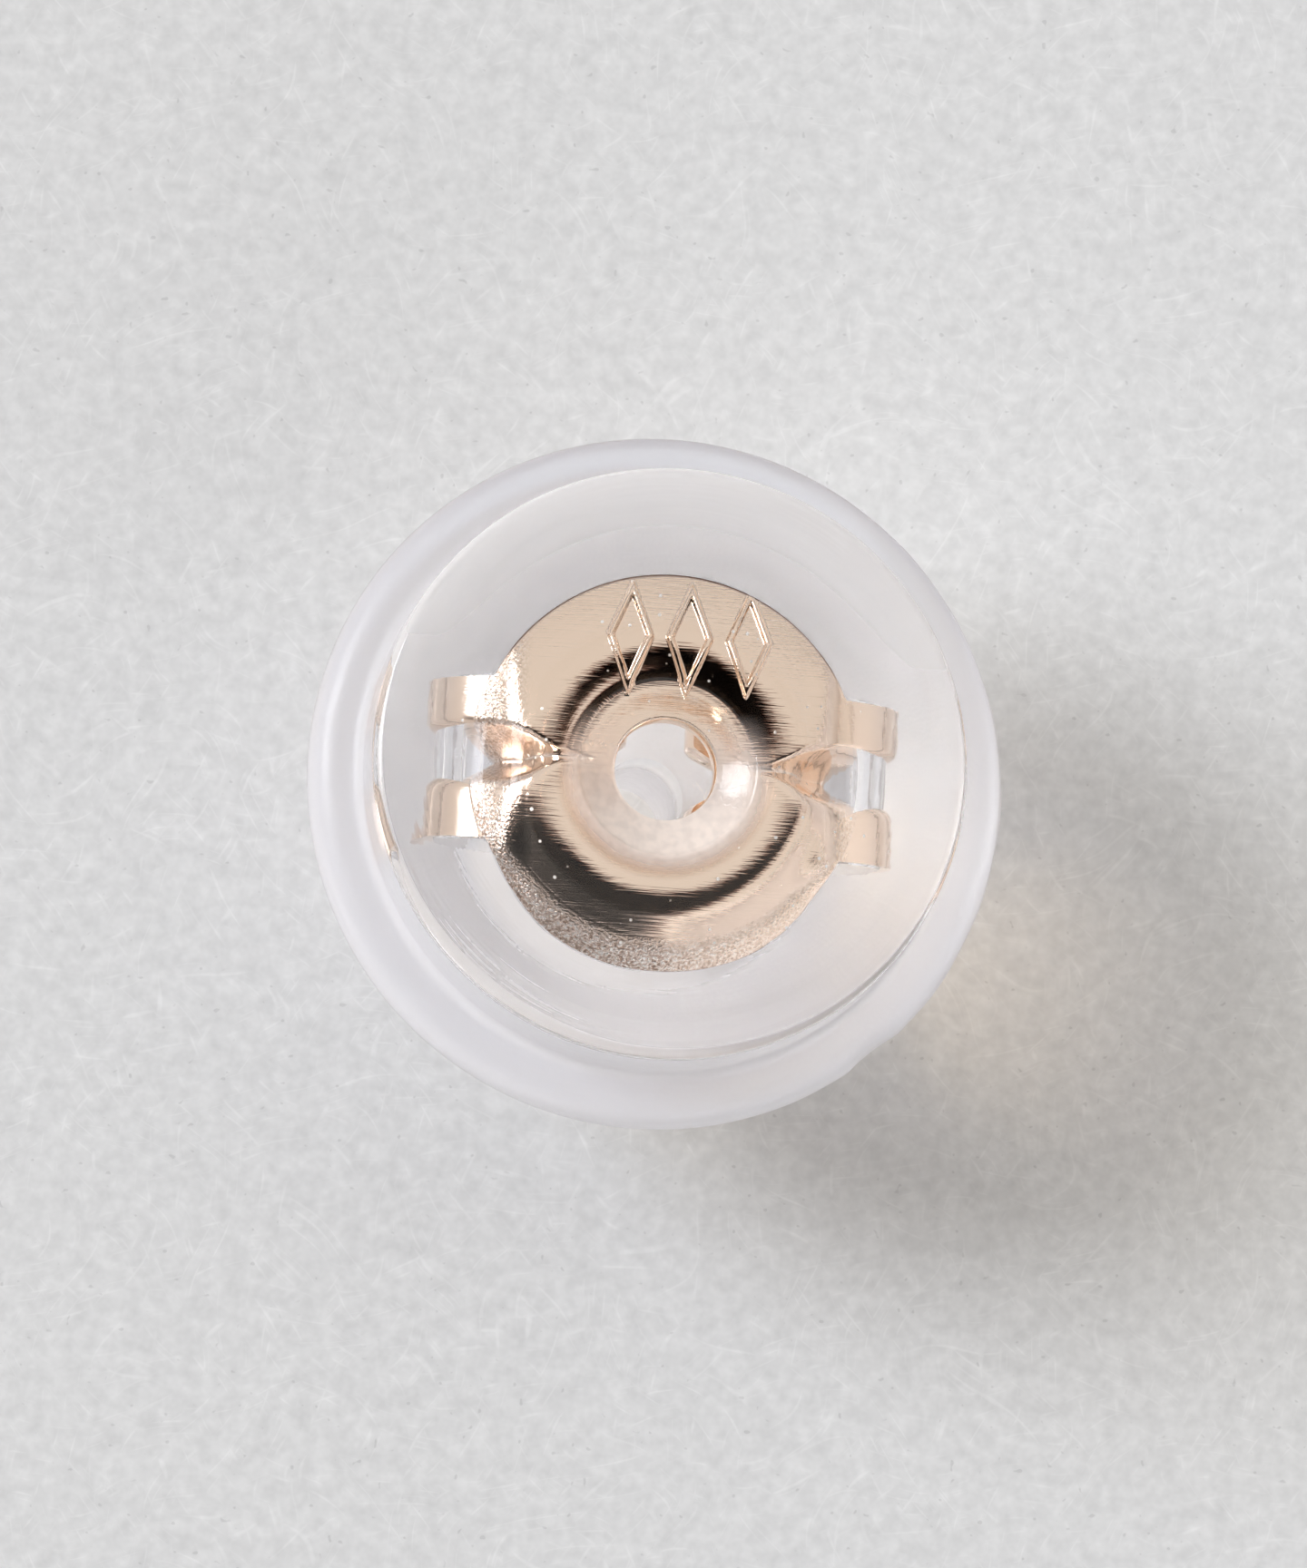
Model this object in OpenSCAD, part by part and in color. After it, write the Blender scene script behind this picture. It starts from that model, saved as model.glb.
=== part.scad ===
// Silicone-covered butterfly earring back, in millimetres.
// It stands on its flat back end at z = 0. +Z is the axis of the post and points to the ear.
// The clutch's two arms lie along X, and its channels with them.

/* [Silicone cover] */
// Height from the flat back end to the rim of the face that meets the ear
cover_h = 4.1; // [3.9:0.05:4.6]
// Radius of the flange, the widest part
flange_r = 3; // [2.9:0.05:3.5]
// Thickness of the flange
flange_t = 0.56; // [0.5:0.02:0.7]
// Radius of the round boss between the flange and the ear
boss_r = 2.53; // [2.45:0.01:2.56]
// Height of the boss above the flange
boss_h = 1; // [0.8:0.05:1.2]
// Radius of the shallow dish in the boss's face
dish_r = 2.24; // [2.1:0.02:2.28]
// Depth of the dish at its centre
dish_depth = 0.34; // [0.2:0.02:0.36]
// Radius of the side of the back where it leaves the flange
back_r = 2.74; // [2.6:0.02:2.8]
// Radius of the flat end that the cover stands on, with its rounded edge
base_r = 2; // [1.7:0.05:2.3]
// Radius of the hole that grips the post behind the clutch
grip_r = 0.36; // [0.3:0.01:0.37]
// Radius of the funnel that leads the post in, at the face
funnel_r = 0.78; // [0.6:0.02:0.9]

/* [Butterfly clutch] */
// Thickness of the gold sheet
sheet_t = 0.2; // [0.16:0.01:0.22]
// Radius of the round plate
plate_r = 1.69; // [1.66:0.01:1.75]
// Radius of the ring where the plate stands highest
crest_r = 1.1; // [1.05:0.01:1.15]
// Depth of that ring below the rim of the face
crest_drop = 0.4; // [0.38:0.01:0.5]
// Radius of the bend along the ring
crest_bend = 0.76; // [0.65:0.01:0.8]
// Slope of the plate outside the ring, in degrees
outer_slope = 17; // [14:1:20]
// Slope of the plate inside the ring, in degrees
inner_slope = 16; // [13:1:19]
// Radius of the flat land round the post hole
land_r = 0.72; // [0.68:0.02:0.76]
// Radius of the post hole in the plate
hole_r = 0.43; // [0.41:0.01:0.45]
// Reach of each arm from the axis of the post
arm_reach = 2.04; // [2:0.01:2.08]
// Width of each arm
arm_w = 1.42; // [1.34:0.02:1.46]
// Space between the two curls, where the post is gripped
curl_gap = 0.5; // [0.48:0.02:0.6]
// Depth of the channel pressed along each arm
channel_d = 0.42; // [0.38:0.01:0.44]
// Width of that channel
channel_w = 0.72; // [0.68:0.02:0.76]

/* [Hidden] */
$fn = 120;

// Room between the clutch and the pocket that it lies in
pocket_gap = 0.04;
// Steps along a quarter turn of an arc in the folded sheet's sections, and in the cover's outline
sheet_steps = 3;
cover_steps = 7;
// The same for the dish and the side of the back, which are long and bend little
dish_steps = 30;
back_steps = 30;
// How far the straight channel laps over the curl, so that they join in one solid
lap = 0.02;
// Slope of an arm's face where it leaves the plate, in degrees
arm_slope = 26;
// Drop from the plate's slope to the arm's face at the bend, which leaves a clean edge there
arm_drop = 0.03;
// How far a cutting shape reaches beyond what it cuts
past = 0.3;

// Roundings of the cover: the face's edge, the boss's root, the flange's rim and the foot
face_edge_r = 0.1;
root_r = 0.12;
rim_r = 0.24;
foot_r = 0.3;
// Where the rounding of the flange's rim ends underneath, and that of the foot begins, in degrees
rim_turn = 70;
foot_turn = 30;
// How far the side of the back turns on its way from the flange to the foot, in degrees
back_turn = 20;

// Heights of the flange's two faces and of the plate's ring
flange_top = cover_h - boss_h;
flange_low = flange_top - flange_t;
crest_z = cover_h - crest_drop;

// The curl, seen along Y, is a round roll that the plate runs on to
curl_r = (arm_reach - curl_gap / 2) / 2;
curl_x = arm_reach - curl_r;
bend_x = curl_x + curl_r * sin(arm_slope);
curl_z = plate_top(bend_x) - curl_r * cos(arm_slope) - arm_drop;
// The curl's angle where it ends, up the post's side and short of the plate
curl_tip = -198;

// The channel's rounded shoulders and floor, and the slope of its sides
shoulder_r = sheet_t + 0.02;
floor_r = 0.08;
channel_bends = shoulder_r + floor_r;
side_run = sqrt((channel_w / 2) ^ 2 + (channel_d - channel_bends) ^ 2 - channel_bends ^ 2);
side_slope = atan2(channel_d - channel_bends, channel_w / 2) + atan2(channel_bends, side_run);

// The channel's floor starts just below the hole's edge and meets the floor in the curl as a tangent
mouth = [hole_r, plate_top(hole_r) - 0.03];
to_curl = [curl_x, curl_z] - mouth;
floor_slope = atan2(to_curl[1], to_curl[0]) + asin((curl_r - channel_d) / norm(to_curl));
floor_run = norm(to_curl) * cos(floor_slope - atan2(to_curl[1], to_curl[0]));
// The curl's angle at that tangent, where the straight channel ends and the curl begins
curl_start = 90 + floor_slope;

// Height of the plate's upper face at a radius: a rounded ring with a slope on each side, and a
// flat land inside
function plate_top(r) =
    let (
        away = abs(max(r, land_r) - crest_r),
        slope = r < crest_r ? inner_slope : outer_slope,
        bend = crest_bend * sin(slope)
    )
    away < bend
        ? crest_z - crest_bend + sqrt(crest_bend ^ 2 - away ^ 2)
        : crest_z - crest_bend * (1 - cos(slope)) - (away - bend) * tan(slope);

// Points of an arc round a centre, from one angle to another
function arc(centre, r, from, to, steps = sheet_steps) =
    let (n = max(2, ceil(abs(to - from) / 90 * steps)), step = (to - from) / n)
    [for (i = [0 : n]) centre + r * [cos(from + i * step), sin(from + i * step)]];

// Points of an arc between two points that turns to the right through an angle on the way
function bowed(a, b, turn, steps) =
    let (
        r = norm(b - a) / 2 / sin(turn / 2),
        away = atan2(b[1] - a[1], b[0] - a[0]) + 90 + turn / 2
    )
    arc(a - r * [cos(away), sin(away)], r, away, away - turn, steps);

// Unit normal on the left of a line's direction
function left(v) = [-v[1], v[0]] / norm(v);

// Normal of a line at its point i, longer at a corner so that a sheet keeps its thickness there
function corner(line, i) =
    let (
        last = len(line) - 1,
        a = left(line[max(i, 1)] - line[max(i, 1) - 1]),
        b = left(line[min(i, last - 1) + 1] - line[min(i, last - 1)])
    )
    (a + b) / (1 + a * b);

// Closed outline of a sheet of thickness t on the left of a line, with room of g on both faces
function sheet(line, t, g = 0) =
    let (last = len(line) - 1)
    concat(
        [for (i = [0 : last]) line[i] - corner(line, i) * g],
        [for (i = [last : -1 : 0]) line[i] + corner(line, i) * (t + g)]
    );

// Upper face of the plate, as radius and height, from the rim with room of g to a point inside
// the hole, which is drilled through it later
function plate_line(g = 0) =
    concat(
        [[plate_r + g, plate_top(plate_r + g)]],
        arc([crest_r, crest_z - crest_bend], crest_bend, 90 - outer_slope, 90 + inner_slope),
        [for (r = [land_r, hole_r - sheet_t]) [r, plate_top(r)]]
    );

// Outer face of an arm across its width, as height over its flat edges and place across
function arm_line() =
    concat(
        [[0, -arm_w / 2]],
        arc([-shoulder_r, -channel_w / 2], shoulder_r, 0, side_slope),
        arc([floor_r - channel_d, 0], floor_r, 180 + side_slope, 180 - side_slope),
        arc([-shoulder_r, channel_w / 2], shoulder_r, -side_slope, 0),
        [[0, arm_w / 2]]
    );

// Outline of the cover, from the axis over dish, boss and flange to the flat end
function cover_line() =
    let (
        ball_r = (dish_r ^ 2 + dish_depth ^ 2) / (2 * dish_depth),
        dish_turn = asin(dish_r / ball_r),
        foot = [base_r - foot_r, foot_r],
        heel = foot + foot_r * [cos(foot_turn), -sin(foot_turn)],
        n = cover_steps
    )
    concat(
        arc([0, cover_h - dish_depth + ball_r], ball_r, -90, dish_turn - 90, dish_steps),
        arc([boss_r - face_edge_r, cover_h - face_edge_r], face_edge_r, 90, 0, n),
        arc([boss_r + root_r, flange_top + root_r], root_r, 180, 270, n),
        arc([flange_r - rim_r, flange_top - rim_r], rim_r, 90, 0, n),
        arc([flange_r - rim_r, flange_low + rim_r], rim_r, 0, -rim_turn, n),
        bowed([back_r, flange_low], heel, back_turn, back_steps),
        arc(foot, foot_r, -foot_turn, -90, n),
        [[0, 0]]
    );

// A shape and its copy on the other arm's side
module both_sides() {
    children();
    mirror([1, 0, 0]) children();
}

// A solid turned round the curl's own axis, between two angles from +X up to +Z
module round_curl(from, to) {
    translate([curl_x, 0, curl_z])
        rotate([90, 0, 0])
            rotate([0, 0, from])
                rotate_extrude(angle = to - from)
                    translate([curl_r, 0])
                        children();
}

// The same section run straight from the curl's start up to the hole
module along_floor() {
    translate([curl_x, 0, curl_z])
        rotate([0, -90 - floor_slope, 0])
            translate([curl_r, 0, -lap])
                linear_extrude(floor_run + past)
                    children();
}

// Section of an arm's sheet
module arm_section() {
    polygon(sheet(arm_line(), sheet_t));
}

// Section of the space that the channel opens, above the arm's sheet
module channel_section() {
    intersection() {
        polygon(concat(arm_line(), [[past, arm_w / 2], [past, -arm_w / 2]]));
        translate([-channel_d - past, -channel_w / 2]) square([channel_d + 2 * past, channel_w]);
    }
}

// All that lies under the plate's upper face
module under_plate() {
    line = plate_line();
    rotate_extrude()
        polygon(concat(line, [[0, line[len(line) - 1][1]], [0, 0], [plate_r, 0]]));
}

// The round plate as far as the arms' bends
module plate() {
    intersection() {
        rotate_extrude() polygon(sheet(plate_line(), sheet_t));
        translate([-bend_x, -plate_r, 0]) cube([2 * bend_x, 2 * plate_r, cover_h]);
    }
}

module butterfly_clutch() {
    color([0.87, 0.75, 0.63])
        difference() {
            union() {
                plate();
                intersection() {
                    both_sides() along_floor() arm_section();
                    under_plate();
                }
                both_sides() round_curl(curl_tip, curl_start) arm_section();
            }
            both_sides() along_floor() channel_section();
            both_sides() round_curl(0, curl_start) channel_section();
            translate([0, 0, curl_z]) cylinder(r = hole_r, h = cover_h - curl_z);
        }
}

// The space that the clutch lies in
module pocket() {
    low = curl_z - curl_r - pocket_gap;
    width = arm_w + 2 * pocket_gap;
    rotate_extrude() polygon(sheet(plate_line(pocket_gap), sheet_t, pocket_gap));
    both_sides()
        translate([curl_x, width / 2, curl_z])
            rotate([90, 0, 0])
                cylinder(r = curl_r + pocket_gap, h = width);
    intersection() {
        translate([-curl_x, -width / 2, low]) cube([2 * curl_x, width, cover_h - low]);
        under_plate();
    }
}

// The way in for the post: a funnel at the face and a close hole behind the clutch
module post_way() {
    funnel_low = plate_top(hole_r);
    translate([0, 0, -past]) cylinder(r = grip_r, h = cover_h + 2 * past);
    translate([0, 0, curl_z]) cylinder(r = hole_r + pocket_gap, h = cover_h - curl_z);
    translate([0, 0, funnel_low])
        cylinder(r1 = hole_r + pocket_gap, r2 = funnel_r, h = cover_h - dish_depth - funnel_low);
    translate([0, 0, cover_h - dish_depth]) cylinder(r = funnel_r, h = dish_depth);
}

module silicone_cover() {
    color([0.9, 0.91, 0.94, 0.45])
        difference() {
            rotate_extrude() polygon(cover_line());
            pocket();
            post_way();
        }
}

silicone_cover();
butterfly_clutch();
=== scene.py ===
# %% [markdown]
# # A silicone-covered butterfly earring back
# This lesson dresses one small part: the friction nut that is pushed onto the post of an earring
# behind the ear. A folded gold clutch grips the post, and a soft round cover of clear silicone
# spreads the pressure on the ear. The whole thing is 6 mm across, so every size below is given in
# millimetres and turned to metres once, when a mesh is made.

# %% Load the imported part
import math

import bmesh
import bpy
import numpy as np
from mathutils import Matrix, Vector


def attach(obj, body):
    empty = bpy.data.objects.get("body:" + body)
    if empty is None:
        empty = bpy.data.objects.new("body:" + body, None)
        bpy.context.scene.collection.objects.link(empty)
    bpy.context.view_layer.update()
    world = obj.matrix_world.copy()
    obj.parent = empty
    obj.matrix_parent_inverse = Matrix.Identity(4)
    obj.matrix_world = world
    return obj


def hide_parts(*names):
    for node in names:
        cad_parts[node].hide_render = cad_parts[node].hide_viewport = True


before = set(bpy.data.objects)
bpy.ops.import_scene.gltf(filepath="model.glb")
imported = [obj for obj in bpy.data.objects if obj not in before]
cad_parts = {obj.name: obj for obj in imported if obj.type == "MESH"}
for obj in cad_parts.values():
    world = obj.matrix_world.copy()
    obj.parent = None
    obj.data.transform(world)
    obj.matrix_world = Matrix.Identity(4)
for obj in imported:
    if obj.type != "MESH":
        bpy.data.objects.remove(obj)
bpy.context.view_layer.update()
scene = bpy.context.scene
MM = 0.001
print("CAD nodes:", ", ".join(sorted(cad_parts)))

# %% [markdown]
# ## A few small helpers
# Colours are written as the sRGB hex codes that a colour picker gives, and one function turns them
# into the linear values that Blender's shaders want. Another adds a node with its settings and
# links in one go: a capital first letter or a number names an input, "stops" are the places and
# colours of a colour ramp, and any other name is one of the node's own properties. A link that
# comes from a node takes its first output. A third turns points in millimetres into a smooth mesh,
# whose folds sharper than a given angle stay sharp.

# %% Colour, node and mesh helpers
def linear(code):
    """sRGB hex such as "#D8C2B0" as linear red, green, blue and alpha."""
    shares = [int(code[i : i + 2], 16) / 255 for i in (1, 3, 5)]
    return tuple(c / 12.92 if c <= 0.04045 else ((c + 0.055) / 1.055) ** 2.4 for c in shares) + (1,)


def add(tree, kind, settings=(), links=()):
    """Adds one node to the tree, sets its properties and inputs, and joins its inputs."""
    node = tree.nodes.new(kind)
    for name, value in dict(settings).items():
        if name == "stops":
            colours = node.color_ramp.elements
            for stop, (position, code) in ((colours[0], value[0]), (colours[1], value[-1])):
                stop.position = position
                stop.color = linear(code)
            for position, code in value[1:-1]:
                colours.new(position).color = linear(code)
        elif isinstance(name, int) or name[0].isupper():
            node.inputs[name].default_value = value
        else:
            setattr(node, name, value)
    for name, source in dict(links).items():
        socket = source if isinstance(source, bpy.types.NodeSocket) else source.outputs[0]
        tree.links.new(socket, node.inputs[name])
    return node


def smooth_mesh(name, points, faces, fold=40):
    """A mesh object from points in mm. Doubled points are joined and flat faces dropped."""
    mesh = bpy.data.meshes.new(name)
    mesh.from_pydata((np.asarray(points) * MM).tolist(), [], [tuple(int(i) for i in f) for f in faces])
    piece = bpy.data.objects.new(name, mesh)
    scene.collection.objects.link(piece)
    work = bmesh.new()
    work.from_mesh(mesh)
    bmesh.ops.remove_doubles(work, verts=work.verts, dist=1e-8)
    bmesh.ops.dissolve_degenerate(work, edges=work.edges, dist=1e-8)
    bmesh.ops.recalc_face_normals(work, faces=work.faces)
    open_edges = sum(not edge.is_manifold for edge in work.edges)
    work.to_mesh(mesh)
    work.free()
    mesh.shade_smooth()
    mesh.set_sharp_from_angle(angle=math.radians(fold))
    print(name, "has", len(mesh.polygons), "faces and", open_edges, "open edges")
    return piece


def smoothstep(low, high, value):
    """0 below low, 1 above high, and an S-shaped rise between."""
    share = np.clip((np.asarray(value, float) - low) / (high - low), 0, 1)
    return share * share * (3 - 2 * share)


# %% [markdown]
# ## The camera
# The picture is a close-up from almost straight above, with the lens a little to the south and west
# of the post's axis, and the two arms of the clutch turned three degrees clockwise. A long lens from
# 18 cm keeps the two ends of the part at nearly the same scale. The frame is 1440 pixels wide and
# 1728 high, and it takes in 13.37 mm of height at the part.

# %% Set the camera
VIEW_HEIGHT = 13.37
CAMERA_AWAY = 180
SENSOR = 36
TURN = math.radians(3)
SOUTH, WEST = math.radians(8.5), math.radians(6.7)
image_right = Vector((math.cos(TURN), math.sin(TURN), 0))
image_up = Vector((-math.sin(TURN), math.cos(TURN), 0))
straight_up = Vector((0, 0, 1))
to_camera = straight_up - math.tan(SOUTH) * image_up - math.tan(WEST) * image_right
to_camera.normalize()
aim = Vector((0.02, 0.03, 2.6))

lens = bpy.data.cameras.new("macro_lens")
lens.sensor_width = SENSOR
lens.lens = SENSOR * CAMERA_AWAY / VIEW_HEIGHT
lens.clip_start = 0.01
lens.clip_end = 5
camera = bpy.data.objects.new("camera", lens)
scene.collection.objects.link(camera)
side = image_up.cross(to_camera).normalized()
top = to_camera.cross(side)
turned = Matrix((side, top, to_camera)).transposed().to_4x4()
turned.translation = (aim + to_camera * CAMERA_AWAY) * MM
camera.matrix_world = turned
scene.camera = camera
print("camera stands", round(math.degrees(math.acos(to_camera.z)), 1), "degrees off the zenith")

# %% [markdown]
# ## The floor
# The part lies on pale felt-like paper: matted fibres about 0.02 mm thick and up to half a
# millimetre long, in an even off-white grey. It could be modelled hair by hair, but at this
# distance it reads as a fine mottled grain, so one flat sheet is enough and its material draws it.

# %% Lay the floor
FLOOR_HALF = 400
FLOOR_Z = -0.02
CORNERS = ((-1, -1), (1, -1), (1, 1), (-1, 1))
floor_points = [(x * FLOOR_HALF, y * FLOOR_HALF, FLOOR_Z) for x, y in CORNERS]
floor = smooth_mesh("paper_floor", floor_points, [(0, 1, 2, 3)])

# %% [markdown]
# ## Off-white felt paper
# Pressed felt has soft clumps of fibre, small pits between them, and single strands on top that lie
# in every direction. The pits are drawn darker, as painted shade. The clumps are a noise with 6 cells
# in a millimetre, so they are about 0.17 mm wide. The pits are the lowest spots of a noise with 17
# cells, 0.06 mm apart. The strands are noise stretched to 0.3 by 0.035 mm and bent a little, in three
# directions; real fibres are thinner, but would be too fine to show.

# %% Clumps, pits and strands of the felt
CLUMPS_PER_MM = 6
PITS_PER_MM = 17
BENDS_PER_MM = 0.9
STRAND_SIZE = (0.3, 0.035, 1)
STRAND_WAYS = (12, 71, 133)

felt_paper = bpy.data.materials.new("off_white_felt_paper")
felt_paper.use_nodes = True
tree = felt_paper.node_tree
tree.nodes.clear()
place = add(tree, "ShaderNodeTexCoord")
in_mm = add(
    tree, "ShaderNodeVectorMath", {"operation": "SCALE", "Scale": 1 / MM}, {0: place.outputs["Object"]}
)
clumps = add(
    tree,
    "ShaderNodeTexNoise",
    {"Scale": CLUMPS_PER_MM, "Detail": 2, "Roughness": 0.7},
    {"Vector": in_mm},
)
holes = add(tree, "ShaderNodeTexNoise", {"Scale": PITS_PER_MM, "Detail": 0}, {"Vector": in_mm})
pits = add(tree, "ShaderNodeMapRange", {"From Min": 0.2, "From Max": 0.14}, {"Value": holes})
bends = add(tree, "ShaderNodeTexNoise", {"Scale": BENDS_PER_MM, "Detail": 0}, {"Vector": in_mm})
sway = add(
    tree, "ShaderNodeVectorMath", {"operation": "SCALE", "Scale": 0.9}, {0: bends.outputs["Color"]}
)
bent = add(tree, "ShaderNodeVectorMath", {"operation": "ADD"}, {0: in_mm, 1: sway})
strands = None
for direction in STRAND_WAYS:
    laid = add(
        tree,
        "ShaderNodeMapping",
        {
            "vector_type": "TEXTURE",
            "Location": (direction, 0, 0),
            "Rotation": (0, 0, math.radians(direction)),
            "Scale": STRAND_SIZE,
        },
        {"Vector": bent},
    )
    hairs = add(tree, "ShaderNodeTexNoise", {"Scale": 1, "Detail": 0}, {"Vector": laid})
    strand = add(tree, "ShaderNodeMapRange", {"From Min": 0.7, "From Max": 0.86}, {"Value": hairs})
    if strands is None:
        strands = strand
    else:
        strands = add(tree, "ShaderNodeMath", {"operation": "MAXIMUM"}, {0: strands, 1: strand})
print("the felt's strands lie in", len(STRAND_WAYS), "directions")

# %% [markdown]
# The three are added up to one height that picks the grey: strands a little lighter than the clumps,
# pits darker, which is painted shade. Only the clumps are raised, by 0.02 mm at most, because the fine
# bumps cost render time and don't show.

# %% Felt paper material
with_strands = add(
    tree, "ShaderNodeMath", {"operation": "MULTIPLY_ADD", 1: 0.2}, {0: strands, 2: clumps}
)
# The pits' darker grey is painted shade between the fibres.
fibres = add(
    tree, "ShaderNodeMath", {"operation": "MULTIPLY_ADD", 1: -0.45}, {0: pits, 2: with_strands}
)
FELT_GREYS = [(0.0, "#CDCECF"), (0.5, "#DFE0E1"), (1.0, "#F0F1F2")]
tint = add(tree, "ShaderNodeValToRGB", {"stops": FELT_GREYS}, {"Fac": fibres})
relief = add(tree, "ShaderNodeBump", {"Strength": 0.35, "Distance": 0.02 * MM}, {"Height": clumps})
paper_shader = add(
    tree,
    "ShaderNodeBsdfPrincipled",
    {"Roughness": 0.92, "Specular IOR Level": 0.2},
    {"Base Color": tint, "Normal": relief},
)
add(tree, "ShaderNodeOutputMaterial", links={"Surface": paper_shader})
floor.data.materials.append(felt_paper)
print("felt paper has", len(tree.nodes), "nodes")

# %% [markdown]
# ## Light
# Polished gold shows its surroundings, so the light is half of its look. Above the part is a dim
# round region, where the camera and the dark ceiling are, with a brown edge. It ends just north of
# the zenith, some 33 degrees down from it to the south-east, and about 23 degrees above the floor
# elsewhere. Round it the studio is pale and bright.

# %% The dim region and the pale studio
SKY_STRENGTH = 0.92
studio = bpy.data.worlds.new("pale_studio")
scene.world = studio
studio.use_nodes = True
tree = studio.node_tree
tree.nodes.clear()
way = add(tree, "ShaderNodeTexCoord")
to_north = add(
    tree, "ShaderNodeVectorMath", {"operation": "DOT_PRODUCT", 1: tuple(image_up)}, {0: way}
)
south_east = 0.78 * image_right - 0.62 * image_up
to_south_east = add(
    tree, "ShaderNodeVectorMath", {"operation": "DOT_PRODUCT", 1: tuple(south_east)}, {0: way}
)
height = add(tree, "ShaderNodeSeparateXYZ", links={0: way})
# Each limit of the region: what is measured, where it is still bright and where it is fully dim
DIM_LIMITS = [
    (to_north.outputs["Value"], 0.16, 0.0),
    (to_south_east.outputs["Value"], 0.6, 0.48),
    (height.outputs["Z"], 0.33, 0.45),
]
dimness = None
for measured, bright, dim in DIM_LIMITS:
    limit = add(
        tree,
        "ShaderNodeMapRange",
        {"interpolation_type": "SMOOTHSTEP", "From Min": bright, "From Max": dim},
        {"Value": measured},
    )
    if dimness is None:
        dimness = limit
    else:
        dimness = add(tree, "ShaderNodeMath", {"operation": "MULTIPLY"}, {0: dimness, 1: limit})
SKY_COLOURS = [(0.0, "#F0EEEA"), (0.25, "#BCA198"), (0.5, "#6A4038"), (0.8, "#0F0909"), (1.0, "#050404")]
surroundings = add(tree, "ShaderNodeValToRGB", {"stops": SKY_COLOURS}, {"Fac": dimness})
lit = add(tree, "ShaderNodeBackground", {"Strength": SKY_STRENGTH}, {"Color": surroundings})
print("the dim region has", len(DIM_LIMITS), "limits")

# %% [markdown]
# One softbox stands to the west and a little north, 36 degrees above the floor: it gives the soft
# shadow to the lower right, the sparkle in the channels and the sheen on the dished face. A dim
# white card low in the south brightens the rim of the plate. Area lamps could stand there instead,
# but would show hard edges in the gold, so both are round glows on the studio's wall, full inside
# one angle from their middle and gone outside another.

# %% Softbox and white card
key_slant = math.tan(math.radians(25.5)) * image_up - math.tan(math.radians(52)) * image_right
key_way = (straight_up + key_slant).normalized()
CARD_HEIGHT = math.tan(math.radians(14))
card_way = (0.45 * image_right - 1.0 * image_up + CARD_HEIGHT * straight_up).normalized()
# Each lamp: its direction, the angles where it fades out and is full, its strength and its colour
LAMPS = [(key_way, 18, 7, 13.2, "#FBFCFF"), (card_way, 40, 12, 0.35, "#F4F4FB")]
for direction, outside, inside, strength, code in LAMPS:
    toward = add(
        tree, "ShaderNodeVectorMath", {"operation": "DOT_PRODUCT", 1: tuple(direction)}, {0: way}
    )
    glow = add(
        tree,
        "ShaderNodeMapRange",
        {
            "interpolation_type": "SMOOTHERSTEP",
            "From Min": math.cos(math.radians(outside)),
            "From Max": math.cos(math.radians(inside)),
            "To Max": strength,
        },
        {"Value": toward.outputs["Value"]},
    )
    lamp = add(tree, "ShaderNodeBackground", {"Color": linear(code)}, {"Strength": glow})
    lit = add(tree, "ShaderNodeAddShader", links={0: lit, 1: lamp})
add(tree, "ShaderNodeOutputWorld", links={"Surface": lit})
print("key light stands", round(math.degrees(math.asin(key_way.z))), "degrees above the floor")

# %% [markdown]
# Light has to cross the rubber's skins, the pocket and the hole on its way, so rays may bend through
# nine surfaces. More makes no difference that shows.

# %% Render settings that belong to the materials
scene.view_settings.view_transform = "Standard"
scene.cycles.use_denoising = True
scene.cycles.max_bounces = 9
scene.cycles.transmission_bounces = 9
scene.cycles.transparent_max_bounces = 16
scene.cycles.glossy_bounces = 8
print("rays bounce", scene.cycles.max_bounces, "times")

# %% [markdown]
# ## Measures shared with the solid model
# These are the values of the part's source, so that each dressed piece fits the solid it stands for.
# Z starts at the flat back end and points along the post to the ear; the arms lie along X. Only the
# plate's outer slope isn't the same all round, because its reflections in the photograph differ:
# 15 degrees to the south-west, 20.5 to the south-east and 9 to the north.

# %% Sizes in mm
COVER_H = 4.1
FLANGE_R = 2.965
FLANGE_TOP = 3.1
FLANGE_LOW = 2.54
BOSS_R = 2.53
DISH_R = 2.24
DISH_DEPTH = 0.34
BACK_R = 2.74
BASE_R = 2.0
GRIP_R = 0.36
FUNNEL_R = 0.78

SHEET_T = 0.2
PLATE_R = 1.69
CREST_R = 1.1
CREST_Z = 3.7
CREST_BEND = 0.76
LAND_R = 0.72
INNER_FLANK = math.radians(16)
OUTER_FLANK = math.radians(15)
NORTH_FLANK = math.radians(9)
EAST_FLANK = math.radians(20.5)
ARM_FLANK = math.radians(26)
HOLE_R = 0.43
ARM_REACH = 2.04
ARM_SIDE = 0.71
CURL_R = 0.895
CURL_X = ARM_REACH - CURL_R
BEND_X = CURL_X + CURL_R * math.sin(ARM_FLANK)
print("the clutch is", 2 * ARM_REACH, "by", 2 * PLATE_R, "mm and the cover", 2 * FLANGE_R, "mm wide")

# %% [markdown]
# ## The form of the clutch's sheet
# A real butterfly clutch is stamped from one strip of sheet: a round plate whose crest stands up as
# a ring round the post hole, with a channel pressed out to each side, and two ends that are rolled
# under to meet the post. The upper face is worked out as a height over X and Y, from a profile that
# bends over its crest and then slopes down straight.

# %% Profiles of the crest, the ring and the arms
def soft_rise(value, width):
    """Like max(value, 0), with a rounding of that width."""
    return 0.5 * (value + np.sqrt(value**2 + width**2))


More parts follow.
